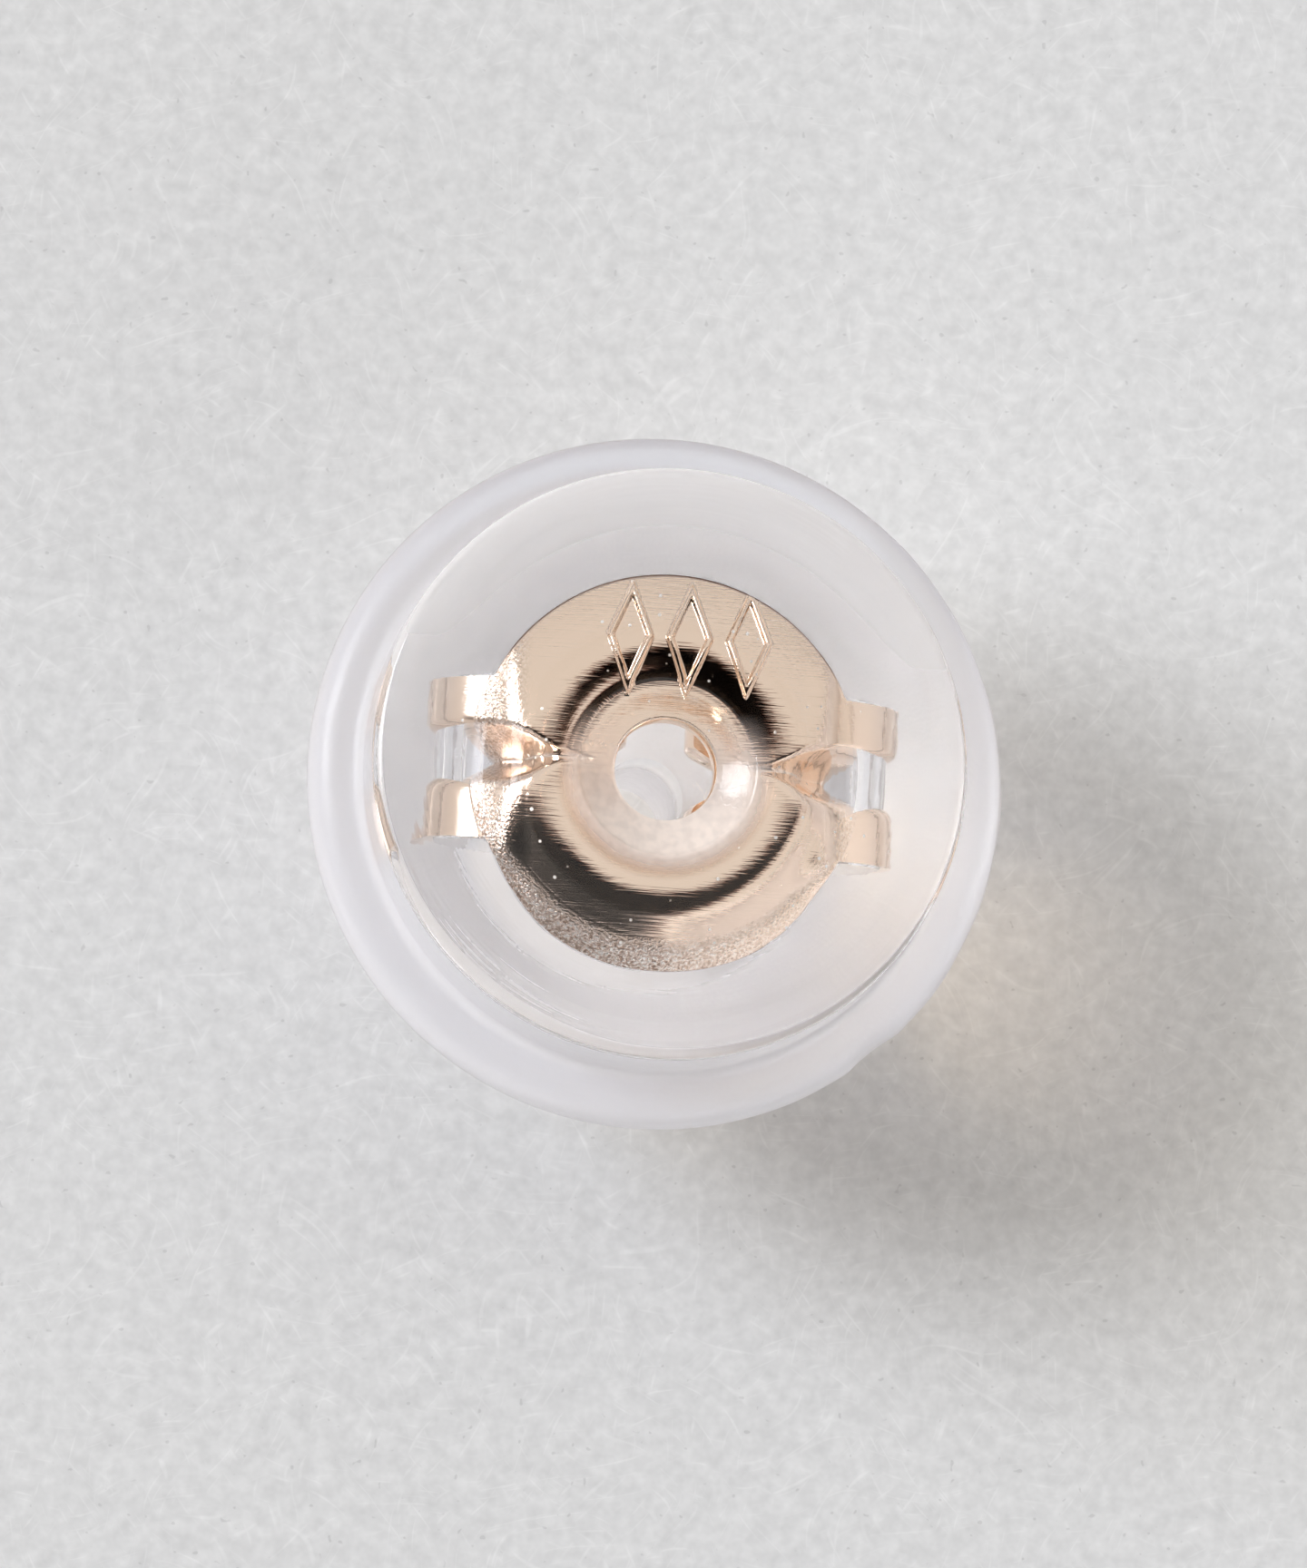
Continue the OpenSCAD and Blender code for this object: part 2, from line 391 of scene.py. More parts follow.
def crest_height(away, flank):
    """Height of the crest's profile at a distance from its top, sloping at an angle past the bend."""
    bend = CREST_BEND * np.sin(flank)
    crown = CREST_Z - CREST_BEND + np.sqrt(CREST_BEND**2 - np.minimum(away, bend) ** 2)
    return crown - np.maximum(away - bend, 0) * np.tan(flank)


def ring_height(r, eastward=0.0, northward=0.0):
    """Height of the plate's ring: flat land round the hole, then a slope up and a slope down."""
    out = LAND_R + soft_rise(np.asarray(r, float) - LAND_R, 0.05) - CREST_R
    south_east = smoothstep(0.0, 0.35, eastward) * smoothstep(-0.05, -0.35, northward)
    outer = OUTER_FLANK + (NORTH_FLANK - OUTER_FLANK) * smoothstep(-0.1, 0.6, northward)
    outer = outer + (EAST_FLANK - OUTER_FLANK) * south_east
    return crest_height(np.abs(out), np.where(out < 0, INNER_FLANK, outer))


def arm_height(x):
    """Height of an arm along its centre line, before the channel is pressed."""
    return crest_height(np.abs(np.abs(x) - CREST_R), ARM_FLANK)


CURL_Z = float(arm_height(BEND_X)) - CURL_R * math.cos(ARM_FLANK)
print("curls are centred at x", round(CURL_X, 3), "z", round(CURL_Z, 3))

# %% [markdown]
# The ring's slope turns into the straight profile of the arms towards the two bends. The southern
# margin was drawn over the die: it rolls down and reaches 0.09 mm further out. A stamped face is
# never quite even, so it waves by about a thousandth of a millimetre, which makes the reflections
# run less than perfectly round.

# %% Height of the sheet's upper face
ROLL_FROM = 1.45
ROLL_RATE = 0.5
DRAWN_OUT = 0.09
WAVE = 0.0011


def sheet_height(x, y):
    """Height of the sheet's upper face before its channels are pressed."""
    r = np.hypot(x, y)
    arm = smoothstep(1.12, BEND_X, np.abs(x)) * (1 - smoothstep(ARM_SIDE, CREST_R, np.abs(y)))
    south = smoothstep(0.3, -0.6, y)
    rolled = ROLL_RATE * np.maximum(r - ROLL_FROM, 0) ** 2 * (1 - arm) * south
    uneven = WAVE * (np.sin(7.1 * x + 1.3) * np.sin(6.3 * y + 0.4) + np.sin(4.2 * x - 5.1 * y + 2))
    away = np.maximum(r, 0.01)
    ring = ring_height(r, x / away, y / away) + uneven
    return (1 - arm) * ring + arm * arm_height(x) - rolled


def plate_reach(angle):
    """Radius of the plate in a direction: its southern margin was drawn out a little."""
    return PLATE_R + DRAWN_OUT * float(smoothstep(-0.5, -0.95, math.sin(angle)))


def sheet_facing(x, y):
    """Unit vectors square to that face, as an array of rows."""
    step = 1e-4
    rise_x = (sheet_height(x + step, y) - sheet_height(x - step, y)) / (2 * step)
    rise_y = (sheet_height(x, y + step) - sheet_height(x, y - step)) / (2 * step)
    facing = np.stack([-rise_x, -rise_y, np.ones_like(rise_x)], -1)
    return facing / np.linalg.norm(facing, axis=-1, keepdims=True)


south_edge = float(sheet_height(0.0, -plate_reach(-math.pi / 2)))
print("the plate's south edge is", round(south_edge, 2), "mm high")

# %% [markdown]
# ## The silicone cover
# The real cover is moulded in one piece from clear silicone rubber: a boss with a shallow dished
# face, a wider flange behind it and a rounded back, with a pocket inside that the clutch is pressed
# into. Turning gives the outside, as on a lathe, and each section also runs in through the post
# hole and round the pocket, so that the cover is one closed skin. A Boolean could cut the pocket too,
# but leaves long thin faces, and those show as kinks in clear rubber.

# %% Outline of the cover
POCKET_GAP = 0.008


def arc(centre, radius, start, end, count):
    """Points of an arc in a section, as radius and height; angles in degrees."""
    angles = np.radians(np.linspace(start, end, count))
    return [(centre[0] + radius * math.cos(a), centre[1] + radius * math.sin(a)) for a in angles]


def dish_height(r):
    """Height of the dished face at a radius."""
    ball = (DISH_R**2 + DISH_DEPTH**2) / (2 * DISH_DEPTH)
    return COVER_H - DISH_DEPTH + ball - np.sqrt(ball**2 - r**2)


def bowed(start, end, turn, count):
    """Points of an arc between two points that turns right through an angle on its way."""
    start = np.array(start)
    end = np.array(end)
    chord = end - start
    radius = np.hypot(*chord) / 2 / math.sin(math.radians(turn) / 2)
    away = math.degrees(math.atan2(chord[1], chord[0])) + 90 + turn / 2
    centre = start - radius * np.array([math.cos(math.radians(away)), math.sin(math.radians(away))])
    return arc(centre, radius, away, away - turn, count)


EDGE_R, ROOT_R, RIM_R, FOOT_R, LIP_R = 0.1, 0.12, 0.24, 0.3, 0.07
funnel_low = float(ring_height(HOLE_R)) + 0.03
lip = (FUNNEL_R + 0.02, float(dish_height(FUNNEL_R)) - LIP_R)
foot = (BASE_R - FOOT_R, FOOT_R)
heel = (foot[0] + FOOT_R * math.cos(math.radians(30)), foot[1] - FOOT_R * math.sin(math.radians(30)))
cover_outline = (
    [(HOLE_R + POCKET_GAP, funnel_low)]
    + arc(lip, LIP_R, 150, 92, 6)
    + [(r, float(dish_height(r))) for r in np.linspace(FUNNEL_R + 0.06, DISH_R, 44)]
    + arc((BOSS_R - EDGE_R, COVER_H - EDGE_R), EDGE_R, 90, 0, 10)
    + arc((BOSS_R + ROOT_R, FLANGE_TOP + ROOT_R), ROOT_R, 180, 270, 9)
    + arc((FLANGE_R - RIM_R, FLANGE_TOP - RIM_R), RIM_R, 90, 4, 14)
    + [(FLANGE_R, FLANGE_TOP - RIM_R - 0.02), (FLANGE_R, FLANGE_LOW + RIM_R + 0.02)]
    + arc((FLANGE_R - RIM_R, FLANGE_LOW + RIM_R), RIM_R, -4, -70, 12)
    + bowed((BACK_R, FLANGE_LOW), heel, 20, 26)
    + arc(foot, FOOT_R, -34, -90, 9)
    + [(r, 0.0) for r in (1.5, 1.2, 0.9, 0.6, 0.42)]
    + [(0.38, 0.006), (GRIP_R, 0.03)]
)
print("the cover's outline has", len(cover_outline), "points")

# %% [markdown]
# The pocket follows the clutch. The soft rubber presses on the plate and on the curls, so there its
# skin lies a hundredth of a millimetre or less inside the gold, and light goes from rubber to metal
# with no air between. A gap there would show as a white line. Beside the arms it leaves 0.008 mm.

# %% Room between rubber and gold
TOUCH = -0.01
CONTACT = -0.006
POCKET_X = ARM_REACH + TOUCH
POCKET_Y = ARM_SIDE + POCKET_GAP


def pocket_gap(x, y):
    """Room over the gold. It is below 0: the soft cover presses on the plate and on the curls."""
    on_arm = smoothstep(1.3, 1.7, np.abs(x)) * (1 - smoothstep(0.75, 0.95, np.abs(y)))
    return CONTACT + (TOUCH - CONTACT) * on_arm


def pocket_top(x, y):
    """Height of the pocket's ceiling."""
    gap = pocket_gap(x, y)
    slack = np.maximum((CURL_R + gap) ** 2 - (np.abs(x) - CURL_X) ** 2, 0)
    over_plate = sheet_height(x, y) + gap / sheet_facing(x, y)[..., 2]
    return np.where(np.abs(x) < BEND_X, over_plate, CURL_Z + np.sqrt(slack))


def pocket_floor(x):
    """Height of the pocket's bottom, which is flat between the curls and round under them."""
    out = np.maximum(np.abs(x) - CURL_X, 0)
    curl = CURL_R + POCKET_GAP + (TOUCH - POCKET_GAP) * smoothstep(0.1, 0.6, out)
    return CURL_Z - np.sqrt(np.maximum(curl**2 - out**2, 0))


print("the pocket is", round(2 * POCKET_X, 3), "by", round(2 * POCKET_Y, 3), "mm at the arms")

# %% [markdown]
# For each direction round the post the pocket's skin runs along a flat bottom, round the curls or up
# the side of the space between them, out under the plate, round its rim and back over its upper
# face. Where a stretch has no length in some direction, its points fall together and are joined
# later.

# %% Sections of the pocket
def spread(start, end, bend, count):
    """Values from start to end; past the bend they crowd towards POCKET_X, where the curl turns up."""
    if end <= bend:
        return np.linspace(start, end, count)
    straight = count // 3
    last = math.acos(min(1.0, (end - CURL_X) / (CURL_R + TOUCH)))
    first = math.acos(max(0.0, (bend - CURL_X) / (CURL_R + TOUCH)))
    turns = np.linspace(first, last, count - straight)
    before = np.linspace(start, bend, straight + 1)[:-1]
    return np.concatenate([before, CURL_X + (CURL_R + TOUCH) * np.cos(turns)])


def pocket_section(angle):
    """Points of the pocket in one direction, as radius and height, from its bottom to its ceiling."""
    across = abs(math.sin(angle))
    along = max(abs(math.cos(angle)), 1e-9)
    to_side = POCKET_Y / max(across, 1e-9)
    wall = min(to_side, POCKET_X / along)
    plate_rim = plate_reach(angle) + CONTACT
    rim = max(wall, plate_rim) if to_side < plate_rim else wall

    def top_at(r):
        return pocket_top(np.asarray(r) * math.cos(angle), np.asarray(r) * math.sin(angle))

    def under_at(r):
        x, y = np.asarray(r) * math.cos(angle), np.asarray(r) * math.sin(angle)
        thick = (SHEET_T + 2 * pocket_gap(x, y)) / sheet_facing(x, y)[..., 2]
        return np.maximum(pocket_floor(x), top_at(r) - thick)

    bottom_r = spread(GRIP_R * along, wall * along, CURL_X, 25) / along
    bottom = np.stack([bottom_r, pocket_floor(bottom_r * along)], -1)
    side_z = np.linspace(pocket_floor(wall * along), under_at(wall), 9)[1:]
    side = np.stack([np.full(8, wall), side_z], -1)
    under_r = np.linspace(wall, rim, 11)[1:]
    under = np.stack([under_r, under_at(under_r)], -1)
    rise = np.stack([np.full(3, rim), np.linspace(under_at(rim), top_at(rim), 4)[1:]], -1)
    join = min(rim, BEND_X / along) if rim * along > BEND_X else rim
    outer_r = spread(join * along, rim * along, join * along, 20)[::-1] / along
    inner_r = np.linspace(join, HOLE_R + POCKET_GAP, 58)
    over_r = np.concatenate([outer_r[1:], inner_r[1:-1]])
    over = np.stack([over_r, top_at(over_r)], -1)
    return np.concatenate([bottom, side, under, rise, over])


print("each section of the pocket has", len(pocket_section(0.0)), "points")

# %% [markdown]
# Moulded silicone is never quite round. A thin fin of flash stands along the mould's parting line on
# the flange, widest on the east side, and the gate was trimmed off at the lower right, which left
# a small flat. Both are worked into the flange's radius by direction.

# %% Turn the cover
COVER_WAYS = 288
PARTING_Z = (FLANGE_TOP + FLANGE_LOW) / 2
FLASH_LEAST, FLASH_MOST = 0.004, 0.027
FLASH_HALF = 0.03
GATE_WAY, GATE_HALF, GATE_DEPTH = -48, 5, 0.035


def flash_width(angle):
    """How far the fin of flash stands out of the flange, in mm."""
    east = 0.5 + 0.5 * math.cos(angle - 0.05)
    ragged = 0.5 + 0.25 * math.sin(9 * angle + 1) + 0.25 * math.sin(23 * angle + 2)
    return FLASH_LEAST + FLASH_MOST * east**3 * ragged


def gate_cut(angle):
    """How far the trimmed gate cuts into the flange, in mm."""
    away = math.degrees((angle - math.radians(GATE_WAY) + math.pi) % (2 * math.pi) - math.pi)
    return GATE_DEPTH * max(0.0, 1 - (away / GATE_HALF) ** 2)


outline = np.array(cover_outline)
on_flange = np.clip((outline[:, 0] - BOSS_R) / (FLANGE_R - BOSS_R), 0, 1)
on_flange *= outline[:, 1] > FLANGE_LOW - 0.3
fin = np.exp(-(((outline[:, 1] - PARTING_Z) / FLASH_HALF) ** 2)) * (outline[:, 0] > FLANGE_R - 0.02)
rings = []
for angle in np.linspace(0, 2 * math.pi, COVER_WAYS, endpoint=False):
    turned_outline = outline.copy()
    turned_outline[:, 0] -= gate_cut(angle) * on_flange**2
    turned_outline[:, 0] += flash_width(angle) * fin
    section = np.concatenate([turned_outline, pocket_section(angle)])
    away, up = section[:, 0], section[:, 1]
    rings.append(np.stack([away * math.cos(angle), away * math.sin(angle), up], -1))
ring_size = len(rings[0])
cover_faces = []
for i in range(COVER_WAYS):
    here, there = i * ring_size, (i + 1) % COVER_WAYS * ring_size
    for j in range(ring_size):
        k = (j + 1) % ring_size
        cover_faces.append((here + j, there + j, there + k, here + k))
cover = smooth_mesh("silicone_cover_skin", np.concatenate(rings), cover_faces, fold=38)
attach(cover, "root")
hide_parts("silicone_cover")

# %% [markdown]
# ## The shadow under clear rubber
# A round lump of clear rubber works as a lens: it gathers the lamp's light into a warm patch in the
# middle of its shadow and leaves a dark ring round it. Tracing that for real takes minutes, so the
# softbox shines through the part's skins instead, and each skin lets a share of its light through.
# The share hangs on where the ray crosses the plane of the flange: nearly all of it in the middle,
# little round that. Only shadow rays use it, so the part itself is seen with its true materials.

# %% Light that a skin lets through
LENS_Z = 2.8
LENS_REACH = 4.0
SHARE_COLOURS = [(0.17, "#FFFAF0"), (0.31, "#84755F"), (0.68, "#84755F"), (0.79, "#F0EBE2")]


def light_through(tree, where):
    """Colour of the light that goes on through a skin, from its position in mm as X, Y and Z."""
    down_x = add(
        tree,
        "ShaderNodeMath",
        {"operation": "MULTIPLY_ADD", 1: -key_slant.x},
        {0: where.outputs["Z"], 2: where.outputs["X"]},
    )
    down_y = add(
        tree,
        "ShaderNodeMath",
        {"operation": "MULTIPLY_ADD", 1: -key_slant.y},
        {0: where.outputs["Z"], 2: where.outputs["Y"]},
    )
    on_floor = add(tree, "ShaderNodeCombineXYZ", links={"X": down_x, "Y": down_y})
    middle = (-LENS_Z * key_slant.x, -LENS_Z * key_slant.y, 0)
    off_axis = add(
        tree, "ShaderNodeVectorMath", {"operation": "DISTANCE", 1: middle}, {0: on_floor}
    )
    off_centre = add(
        tree, "ShaderNodeMapRange", {"From Max": LENS_REACH}, {"Value": off_axis.outputs["Value"]}
    )
    through = add(tree, "ShaderNodeValToRGB", {"stops": SHARE_COLOURS}, {"Fac": off_centre})
    through.color_ramp.interpolation = "EASE"
    return through


print("the middle of the shadow lies", round(LENS_Z * key_slant.length, 1), "mm from the part's foot")

# %% [markdown]
# ## Clear silicone rubber
# The mould's polished face leaves the dish glossy and clear, with faint rings from turning the mould.
# The sides and the back came from a satin mould: they are softly frosted, and with the rubber's own
# haze they read as milky white with a touch of lilac. Silicone's IOR is 1.41. The first nodes find
# the place on the part: the polished faces are the dish, its edge and the pocket, which is all that
# lies high and well inside the sides.

# %% Where the silicone is polished
silicone = bpy.data.materials.new("clear_moulded_silicone")
silicone.use_nodes = True
tree = silicone.node_tree
tree.nodes.clear()
place = add(tree, "ShaderNodeTexCoord")
in_mm = add(
    tree, "ShaderNodeVectorMath", {"operation": "SCALE", "Scale": 1 / MM}, {0: place.outputs["Object"]}
)
parts = add(tree, "ShaderNodeSeparateXYZ", links={0: in_mm})
east, north_way, up = parts.outputs["X"], parts.outputs["Y"], parts.outputs["Z"]
flat = add(tree, "ShaderNodeCombineXYZ", links={"X": east, "Y": north_way})
length = add(tree, "ShaderNodeVectorMath", {"operation": "LENGTH"}, {0: flat})
radius = length.outputs["Value"]
high = add(tree, "ShaderNodeMapRange", {"From Min": 1.2, "From Max": 1.5}, {"Value": up})
well_in = add(tree, "ShaderNodeMapRange", {"From Min": 2.4, "From Max": 2.3}, {"Value": radius})
top_edge = add(tree, "ShaderNodeMapRange", {"From Min": 3.9, "From Max": 4.0}, {"Value": up})
high_and_in = add(tree, "ShaderNodeMath", {"operation": "MULTIPLY"}, {0: high, 1: well_in})
glossy_mould = add(tree, "ShaderNodeMath", {"operation": "MAXIMUM"}, {0: high_and_in, 1: top_edge})
print("silicone's place on the part takes", len(tree.nodes), "nodes")

# %% [markdown]
# The lip round the post hole is dull on its south side, and milky white there in lumps about a tenth
# of a millimetre wide: that white is a painted highlight, where the funnel faces the softbox. The
# satin's own frosting varies in the same lumps.

# %% Satin, gloss and the lip's painted highlight
LUMPS_PER_MM = 11
cloud = add(tree, "ShaderNodeTexNoise", {"Scale": LUMPS_PER_MM, "Detail": 1}, {"Vector": in_mm})
satin = add(tree, "ShaderNodeMapRange", {"To Min": 0.28, "To Max": 0.46}, {"Value": cloud})
lip_zone = add(tree, "ShaderNodeMapRange", {"From Min": 0.92, "From Max": 0.72}, {"Value": radius})
lip_top = add(tree, "ShaderNodeMapRange", {"From Min": 3.6, "From Max": 3.62}, {"Value": up})
# The lip's south side gets a painted highlight: milky white lumps.
lip_band = add(tree, "ShaderNodeMath", {"operation": "MULTIPLY"}, {0: lip_zone, 1: lip_top})
lumpy = add(
    tree,
    "ShaderNodeMapRange",
    {"From Min": 0.35, "From Max": 0.65, "To Min": 0.84, "To Max": 1},
    {"Value": cloud},
)
south_side = add(
    tree, "ShaderNodeMapRange", {"From Min": 0.5, "From Max": -0.45}, {"Value": north_way}
)
lumpy_south = add(tree, "ShaderNodeMath", {"operation": "MULTIPLY"}, {0: lumpy, 1: south_side})
lip_highlight = add(tree, "ShaderNodeMath", {"operation": "MULTIPLY"}, {0: lip_band, 1: lumpy_south})
gloss_off_lip_highlight = add(tree, "ShaderNodeMath", {"operation": "MULTIPLY_ADD", 1: -0.25, 2: 1.0}, {0: lip_highlight})
polished = add(tree, "ShaderNodeMath", {"operation": "MULTIPLY"}, {0: glossy_mould, 1: gloss_off_lip_highlight})
roughness = add(
    tree, "ShaderNodeMix", {"data_type": "FLOAT", 3: 0.03}, {0: polished, 2: satin}
)
print("satin lumps are", round(1 / LUMPS_PER_MM, 2), "mm wide")

# %% [markdown]
# Rubber is a little cloudy, so its face turns milky outside the clutch, where it is 3 mm deep. A
# scattering volume would do that, slowly. Here the skin does it: where it is clear it sends all light
# through, and where it is milky its white base colour gives a share back. The face is milkier to the
# north and the frosted sides are cloudiest in the south: that extra white is painted light, for light
# that the rubber scatters and gathers inside it.

# %% How clear the silicone is
deep = add(
    tree,
    "ShaderNodeMapRange",
    {"interpolation_type": "SMOOTHERSTEP", "From Min": 1.45, "From Max": 2.3},
    {"Value": radius},
)
# Milkier to the north: painted light, lightening the face.
murk_and_north_glow = add(
    tree,
    "ShaderNodeMapRange",
    {
        "interpolation_type": "SMOOTHERSTEP",
        "From Min": -1.6,
        "From Max": 2.2,
        "To Min": 0.97,
        "To Max": 0.68,
    },
    {"Value": north_way},
)
milky = add(tree, "ShaderNodeMix", {"data_type": "FLOAT", 2: 1.0}, {0: deep, 3: murk_and_north_glow})
face = add(tree, "ShaderNodeMapRange", {"From Min": 3.68, "From Max": 3.72}, {"Value": up})
face_clearness = add(tree, "ShaderNodeMix", {"data_type": "FLOAT", 2: 1.0}, {0: face, 3: milky})
# Cloudiest in the south: painted light, for light that the rubber gathers onto its far side.
satin_clearness_south_glow = add(
    tree,
    "ShaderNodeMapRange",
    {"From Min": -2.8, "From Max": 2.8, "To Min": 0.46, "To Max": 0.93},
    {"Value": north_way},
)
moulded = add(
    tree, "ShaderNodeMix", {"data_type": "FLOAT"}, {0: polished, 2: satin_clearness_south_glow, 3: face_clearness}
)
clearness = add(
    tree, "ShaderNodeMath", {"operation": "MULTIPLY_ADD", 1: -0.78}, {0: lip_highlight, 2: moulded}
)
# The warm white for the lip is its painted highlight.
LILAC_WHITE, CLEAR_WHITE, LIP_HIGHLIGHT_WHITE = linear("#F6F7FD"), linear("#FCFCFE"), linear("#F4E9E1")
smooth_colour = add(
    tree, "ShaderNodeMix", {"data_type": "RGBA", 6: LILAC_WHITE, 7: CLEAR_WHITE}, {0: polished}
)
skin_colour = add(
    tree, "ShaderNodeMix", {"data_type": "RGBA", 7: LIP_HIGHLIGHT_WHITE}, {0: lip_highlight, 6: smooth_colour.outputs[2]}
)
print("silicone's look takes", len(tree.nodes), "nodes so far")

# %% [markdown]
# The mould's face was turned on a lathe: its marks are 0.03 mm apart and run round the axis for a
# millimetre or so, which is noise over radius and angle. The satin sides have a grain of the same
# width without a direction.

# %% Turning marks and the silicone shader
MARKS_PER_MM = 32
GRAINS_PER_MM = 30
around = add(tree, "ShaderNodeMath", {"operation": "ARCTAN2"}, {0: north_way, 1: east})
polar = add(tree, "ShaderNodeCombineXYZ", links={"X": radius, "Y": around})
wound = add(
    tree, "ShaderNodeVectorMath", {"operation": "MULTIPLY", 1: (MARKS_PER_MM, 2.5, 1)}, {0: polar}
)
grained = add(
    tree, "ShaderNodeVectorMath", {"operation": "SCALE", "Scale": GRAINS_PER_MM}, {0: in_mm}
)
laid = add(tree, "ShaderNodeMix", {"data_type": "VECTOR"}, {0: polished, 4: grained, 5: wound})
marks = add(tree, "ShaderNodeTexNoise", {"Scale": 1, "Detail": 0}, {"Vector": laid.outputs[1]})
skin_bump = add(tree, "ShaderNodeBump", {"Strength": 0.4, "Distance": 0.003 * MM}, {"Height": marks})
silicone_shader = add(
    tree,
    "ShaderNodeBsdfPrincipled",
    {"IOR": 1.41},
    {
        "Base Color": skin_colour.outputs[2],
        "Roughness": roughness,
        "Transmission Weight": clearness,
        "Normal": skin_bump,
    },
)
ray = add(tree, "ShaderNodeLightPath")
let_through = add(tree, "ShaderNodeBsdfTransparent", links={"Color": light_through(tree, parts)})
seen_or_lit = add(
    tree,
    "ShaderNodeMixShader",
    links={0: ray.outputs["Is Shadow Ray"], 1: silicone_shader, 2: let_through},
)
add(tree, "ShaderNodeOutputMaterial", links={"Surface": seen_or_lit})
cover.data.materials.append(silicone)
print("turning marks are", round(1 / MARKS_PER_MM, 3), "mm apart")

# %% [markdown]
# ## Depth of the channel and of the stamped row
# Each arm has a channel pressed along it, so that the post slides in to the middle. It starts
# shallow at the post hole, runs out through the crest and stays deep round the curl. Its north edge
# is a crisp fold and its south edge a soft one. On the north of the plate a row of three plain
# upright lozenges is stamped up, in lines 0.05 mm wide and 0.03 mm high. A bump in the material could
# draw both, but would fail at the edges of the channel, so the face itself is pushed in or out along
# its own direction, and the sheet keeps its thickness.

# %% Channel and stamped row
CHANNEL_X = [0.6, 0.9, 1.05, 1.2, 1.35, BEND_X]
CHANNEL_DEPTH = [0.0, 0.05, 0.16, 0.3, 0.4, 0.44]
CHANNEL_WALL = 2.1
CHANNEL_NORTH = 0.05
CHANNEL_FADE = (0.55, 0.95)
LOZENGES = [(-0.37, 1.125), (0.14, 1.125), (0.65, 1.125)]
LOZENGE_HALF = (0.17, 0.42)
LINE_WIDTH = 0.05
LINE_HIGH = 0.03


def channel_depth(x, y, extra=0.0, soft=(0.03, 0.1), floor_soft=0.04):
    """Depth of the channel at a place on the arm's centre line and across it."""
    deep = np.interp(np.abs(x), CHANNEL_X, CHANNEL_DEPTH)
    across = y - CHANNEL_NORTH
    shoulder = np.where(across > 0, soft[0], soft[1]) * np.minimum(deep / 0.3, 1)
    wall = deep + extra - CHANNEL_WALL * (np.sqrt(across**2 + floor_soft**2) - floor_soft)
    return soft_rise(wall, shoulder) * smoothstep(*CHANNEL_FADE, np.abs(x))


def under_depth(x, y):
    """How far below the upper face the sheet's underside lies; its channel is wider and softer."""
    return SHEET_T + channel_depth(x, y, extra=0.12, soft=(0.2, 0.2), floor_soft=0.2)


def stamped(x, y):
    """Height of the stamped row."""
    nearest = np.full(np.shape(x), 9.0)
    half_wide, half_tall = LOZENGE_HALF
    for cx, cy in LOZENGES:
        off = np.abs(np.abs(x - cx) / half_wide + np.abs(y - cy) / half_tall - 1)
        off = off * half_wide * half_tall / math.hypot(half_wide, half_tall)
        nearest = np.minimum(nearest, off)
    return LINE_HIGH * (1 - smoothstep(0.25 * LINE_WIDTH, 0.65 * LINE_WIDTH, nearest))


print("the channel is", max(CHANNEL_DEPTH), "mm deep at the bend")

# %% [markdown]
# ## The gold sheet's mesh
# The plate is drawn as rays from the post hole to the rim, closer together where the stamped row is,
# and both arms go on from it as strips that roll down and under. Where the rays end on an arm's
# bend, their ends are the strip's first points, so plate and arms are one sheet without a seam. A
# square grid thickened by Solidify would be shorter to write, but ragged at the rim.

# %% Rays of the plate
ARM_HALF = math.sqrt(PLATE_R**2 - BEND_X**2)
ARM_COLUMNS = 45
column = np.linspace(-1, 1, ARM_COLUMNS)
arm_y = ARM_HALF * (0.72 * column + 0.28 * column**3)
arm_angles = np.arctan2(arm_y, BEND_X)
arm_corner = arm_angles[-1]
row_start, row_end = math.radians(42), math.radians(120)
north = np.concatenate(
    [
        np.linspace(arm_corner, row_start, 14)[1:-1],
        np.linspace(row_start, row_end, 190),
        np.linspace(row_end, math.pi - arm_corner, 26)[1:-1],
    ]
)
south = np.linspace(math.pi + arm_corner, 2 * math.pi - arm_corner, 100)[1:-1]
ray_angles = np.concatenate([arm_angles, north, arm_angles + math.pi, south])
east_rays = list(range(ARM_COLUMNS))
west_rays = list(range(ARM_COLUMNS + len(north), 2 * ARM_COLUMNS + len(north)))
print("the plate has", len(ray_angles), "rays")

# %% [markdown]
# Each ray has points along the upper face and along the underside, and four more down the sheared
# rim, whose corners are broken by 0.02 mm. The hole's upper edge is broken by as much.

# %% Points of the plate
EDGE = 0.022
RIM_DEPTHS = [0.3 * EDGE, EDGE, SHEET_T - EDGE, SHEET_T - 0.3 * EDGE]
RIM_BACKS = [0.3 * EDGE, 0.0, 0.0, 0.3 * EDGE]
TOP_STEPS, UNDER_STEPS = 84, 26
points = []
top_rows, rim_rows, under_rows = [], [], []


def ray_reach(angle):
    """How far the plate's base runs in a direction: to its round rim or to an arm's bend."""
    along = max(abs(math.cos(angle)), 1e-9)
    return min(plate_reach(angle), BEND_X / along)


def on_sheet(x, y, lift):
    """Points over the sheet's face, moved out along its own direction."""
    base = np.stack([x, y, sheet_height(x, y)], -1)
    return base + sheet_facing(x, y) * np.asarray(lift)[..., None]


def keep(rows):
    """Adds points to the mesh and returns their numbers."""
    first = sum(len(p) for p in points)
    points.append(np.asarray(rows))
    return list(range(first, first + len(rows)))


